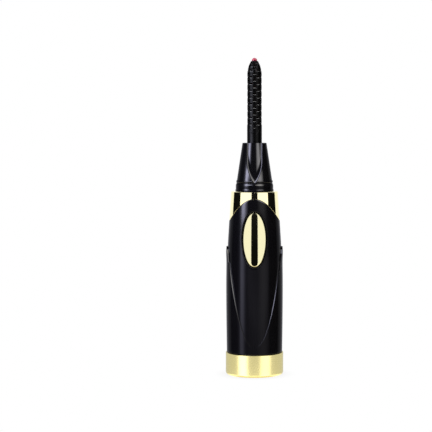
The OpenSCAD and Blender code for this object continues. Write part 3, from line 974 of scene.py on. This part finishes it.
def floor():
    """A pale round floor with a painted contact shadow: it darkens where the object stands and shows what is
    pulled below it.
    """
    sides, r, z = 64, 6000, -0.02
    turns = [2 * math.pi * k / sides for k in range(sides)]
    mesh = bpy.data.meshes.new("floor")
    mesh.from_pydata([(r * math.cos(a) * MM, r * math.sin(a) * MM, z * MM) for a in turns], [],
                     [tuple(range(sides))])
    piece = add_object("floor", mesh)
    mat = bpy.data.materials.new("floor")
    mat.use_nodes = True
    tree = mat.node_tree
    tree.nodes.clear()
    link = tree.links.new
    # painted shadow: ambient occlusion mixes a grey emission in near the object; elsewhere the floor is
    # see-through
    near = add_node(tree, "ShaderNodeAmbientOcclusion", samples=12)
    near.inputs["Distance"].default_value = 6 * MM
    shade = add_node(tree, "ShaderNodeEmission")
    shade.inputs["Color"].default_value = (0.9, 0.9, 0.9, 1)
    through = add_node(tree, "ShaderNodeBsdfTransparent")
    mix = add_node(tree, "ShaderNodeMixShader")
    end = add_node(tree, "ShaderNodeOutputMaterial")
    link(map_range(tree, near.outputs["AO"], 0.3, 1), mix.inputs["Fac"])
    link(shade.outputs["Emission"], mix.inputs[1])
    link(through.outputs["BSDF"], mix.inputs[2])
    link(mix.outputs["Shader"], end.inputs["Surface"])
    mesh.materials.append(mat)
    piece.visible_glossy = False


def world_light():
    """White to the camera; the pieces see a dim room over a pale floor."""
    world = bpy.data.worlds.new("studio")
    bpy.context.scene.world = world
    world.use_nodes = True
    tree = world.node_tree
    tree.nodes.clear()
    link = tree.links.new
    axis = add_node(tree, "ShaderNodeSeparateXYZ")
    link(add_node(tree, "ShaderNodeTexCoord").outputs["Generated"], axis.inputs["Vector"])
    shade = add_node(tree, "ShaderNodeValToRGB")
    below, far, wall, above = (0.95, 0.86, 0.62), (0.9, 0.82, 0.6), (0.004,) * 3, (0.009,) * 3
    set_stops(shade.color_ramp, [(0.0, below), (0.25, far), (0.36, (0.03,) * 3), (0.43, wall), (0.51, wall),
                                 (0.54, above), (1.0, above)])
    link(map_range(tree, axis.outputs["Z"], -1, 1), shade.inputs["Fac"])
    room = add_node(tree, "ShaderNodeBackground")
    link(shade.outputs["Color"], room.inputs["Color"])
    backdrop = add_node(tree, "ShaderNodeBackground")
    backdrop.inputs["Color"].default_value = (1, 1, 1, 1)
    seen = add_node(tree, "ShaderNodeMixShader")
    link(add_node(tree, "ShaderNodeLightPath").outputs["Is Camera Ray"], seen.inputs["Fac"])
    link(room.outputs[0], seen.inputs[1])
    link(backdrop.outputs[0], seen.inputs[2])
    link(seen.outputs[0], add_node(tree, "ShaderNodeOutputWorld").inputs["Surface"])
    bpy.context.scene.view_settings.view_transform = "Standard"


def soft_box(name, azimuths, rises, color, lit, across=None, up=None):
    """A soft box that the pieces in lit see between two azimuths and two elevations, in degrees.

    Its radiance is color, shaped by the (place, gain) stops of across and up, from 0 to 1 each."""
    distance, middle_z = 1.5, 0.075
    middle = math.radians(sum(azimuths) / 2)
    half = math.radians(azimuths[1] - azimuths[0]) / 2
    low, high = (distance * math.tan(math.radians(a)) for a in rises)
    data = bpy.data.lights.new(name, "AREA")
    data.shape = "RECTANGLE"
    data.size = 2 * distance * math.tan(half)
    data.size_y = high - low
    data.energy = math.pi * data.size * data.size_y
    data.use_nodes = True
    tree = data.node_tree
    link = tree.links.new
    glow = tree.nodes["Emission"]
    glow.inputs["Color"].default_value = (*color, 1)
    place = add_node(tree, "ShaderNodeNewGeometry")
    split = add_node(tree, "ShaderNodeSeparateXYZ")
    link(place.outputs["Parametric"], split.inputs["Vector"])
    gain = add_node(tree, "ShaderNodeMath", operation="MULTIPLY")
    for k, (axis, stops) in enumerate((("X", across), ("Y", up))):
        if stops is None:
            gain.inputs[k].default_value = 1
            continue
        curve = add_node(tree, "ShaderNodeFloatCurve")
        points = curve.mapping.curves[0].points
        while len(points) < len(stops):
            points.new(0.5, 0.5)
        for point, (at, value) in zip(points, stops):
            point.location = (at, value)
            point.handle_type = "AUTO_CLAMPED"
        curve.mapping.update()
        link(split.outputs[axis], curve.inputs["Value"])
        link(curve.outputs["Value"], gain.inputs[k])
    link(gain.outputs[0], glow.inputs["Strength"])
    box = add_object(name, data)
    box.location = (distance * math.sin(middle), -distance * math.cos(middle), middle_z + (low + high) / 2)
    face = Vector((-math.sin(middle), math.cos(middle), 0))
    box.rotation_euler = face.to_track_quat("-Z", "Y").to_euler()
    box.light_linking.receiver_collection = lit


def gathered(name, pieces):
    """A collection that light linking reads; it isn't part of the scene."""
    group = bpy.data.collections.new(name)
    for piece in pieces:
        group.objects.link(piece)
    return group


def times(color, gain):
    return tuple(gain * c for c in color)


# gain across a soft box, from its left to its right: a broad hump and a narrow peak
HUMP = [(0, 0.0), (0.25, 0.6), (0.5, 1.0), (0.75, 0.6), (1, 0)]
PEAK = [(0, 0.0), (0.2, 0.06), (0.36, 0.38), (0.47, 1.0), (0.58, 0.95), (0.69, 0.63), (0.8, 0.24), (1, 0)]
WARM, COOL, WHITE = (1.0, 0.985, 0.97), (0.98, 0.98, 1.0), (1, 1, 1)


def light_gold(ring, button, cap):
    """Even boxes left and right with a dark gap between them; the satin cap is lit all round as well."""
    soft_box("ring_key", (-72, -15), (-40, 60), times(COOL, 1.36), ring)
    soft_box("ring_key", (15, 68), (-40, 60), times(WARM, 1.34), ring)
    soft_box("ring_rim", (-180, -121), (-40, 60), times(WHITE, 1.02), ring)
    soft_box("ring_rim", (118, 180), (-40, 60), times(WHITE, 1.02), ring)
    soft_box("button_key", (-67, -14), (-40, 40), COOL, button)
    soft_box("button_key", (14, 67), (-40, 40), COOL, button)
    for middle in (-120, 0, 120):
        soft_box("cap_fill", (middle - 60, middle + 60), (-50, 30), times(WHITE, 0.62), cap)
    soft_box("cap_key", (-67, -29), (-40, 40), times(COOL, 1.45), cap)
    soft_box("cap_key", (24, 66), (-40, 40), times(WARM, 0.9), cap)


def light_black(dark):
    """Strips left and right that are bright only high up, so that upright black surfaces stay dark."""
    left_up = [(0, 0.06), (0.375, 0.07), (0.4, 0.09), (0.47, 0.14), (0.51, 0.12), (0.524, 0.15), (0.53, 0.5),
               (0.5365, 0.93), (0.6, 1), (1, 1)]
    right_up = [(0, 0.02), (0.4, 0.025), (0.473, 0.05), (0.5, 0.03), (0.525, 0.03), (0.5365, 0.06),
                (0.545, 0.08), (0.6, 0.8), (0.64, 1), (1, 1)]
    front_up = [(0, 0.2), (0.375, 0.35), (0.4, 1), (0.425, 0.8), (0.455, 0.1), (0.48, 0), (1, 0)]
    front_across = [(0, 0), (0.2, 1), (0.8, 1), (1, 0)]
    soft_box("dark_left", (-81, -31), (-40, 40), (8.7, 8.7, 11.4), dark, PEAK, left_up)
    soft_box("dark_left_high", (-90, -18), (40, 76), (9.0, 9.2, 11.5), dark, HUMP)
    soft_box("dark_right", (13, 62), (-40, 40), (5.0, 4.9, 5.0), dark, HUMP, right_up)
    soft_box("dark_right_high", (5, 80), (40, 76), (7.0, 6.7, 6.1), dark, HUMP)
    soft_box("dark_front", (-34, 66), (-40, 40), (0.17, 0.165, 0.2), dark, front_across, front_up)


def light_head(head):
    """Strips for the slits' ledges, and boxes overhead for the dome and the ball."""
    high_band = [(0.7, 1), (0.76, 1), (0.8, 0.02), (1, 0.02)]
    left_up = [(0, 0.27), (0.5, 0.27), (0.508, 0.14), (0.516, 0.03), (0.66, 0.03)] + high_band
    right_up = [(0, 0.1), (0.5, 0.1), (0.516, 0.05), (0.66, 0.05)] + high_band
    soft_box("head_left", (-82, -22), (-40, 40), (7.0, 7.2, 8.6), head, HUMP, left_up)
    soft_box("head_right", (13, 66), (-40, 40), (3.0, 3.0, 3.0), head, HUMP, right_up)
    soft_box("head_top", (-60, 60), (70, 85), (8.0, 8.0, 8.0), head)
    soft_box("head_top_left", (-125, -78), (48, 66), (8.0, 8.2, 9.0), head)
    soft_box("head_top_right", (78, 125), (48, 66), (6.0, 6.0, 6.0), head)


def studio():
    """Each kind of surface gets its own boxes, as if the pen were lit and shot once for each."""
    world_light()
    made = {o.name: o for o in bpy.data.objects if o.type == "MESH"}
    ring, button, cap = (gathered(name + "_only", [made[name]]) for name in ("ring", "button", "cap"))
    head = gathered("head_only", [made["comb"], made["core"]])
    apart = {"ring", "button", "cap", "comb", "core", "floor"}
    dark = gathered("dark_only", [o for name, o in made.items() if name not in apart])
    light_gold(ring, button, cap)
    light_black(dark)
    light_head(head)
    fall = [(0, 0.15), (0.35, 0.5), (0.65, 1), (1, 1)]
    mirrored = [(1 - place, gain) for place, gain in reversed(fall)]
    for lit in (dark, head):
        soft_box("edge", (-180, -112), (-40, 10), (0.32, 0.32, 0.35), lit, mirrored)
        soft_box("edge", (112, 180), (-40, 10), (0.32, 0.32, 0.35), lit, fall)


def camera():
    """A little below the tip's height and near; the lens is shifted to set the pen right of the centre."""
    distance, height, aim, frame_width, offset, sensor = 720, 120, 70.1, 190.4, 16.97, 36
    data = bpy.data.cameras.new("camera")
    data.sensor_width = sensor
    data.lens = sensor * math.hypot(distance, height - aim) / frame_width
    data.shift_x = -offset / frame_width
    data.clip_start, data.clip_end = 0.05, 100
    eye = add_object("camera", data)
    eye.location = (0, -distance * MM, height * MM)
    look = Vector((0, 0, aim * MM)) - eye.location
    eye.rotation_euler = look.to_track_quat("-Z", "Y").to_euler()
    bpy.context.scene.camera = eye


# -------- build

dress_frame()
camera()
body_shell()
power_button()
gold_ring()
nose_cone()
comb_head()
heating_core()
base_cap()
cap_plug()
cap_seal()
contact_cup()
contact_spring()
battery_cell()
heater_leads()
floor()
studio()
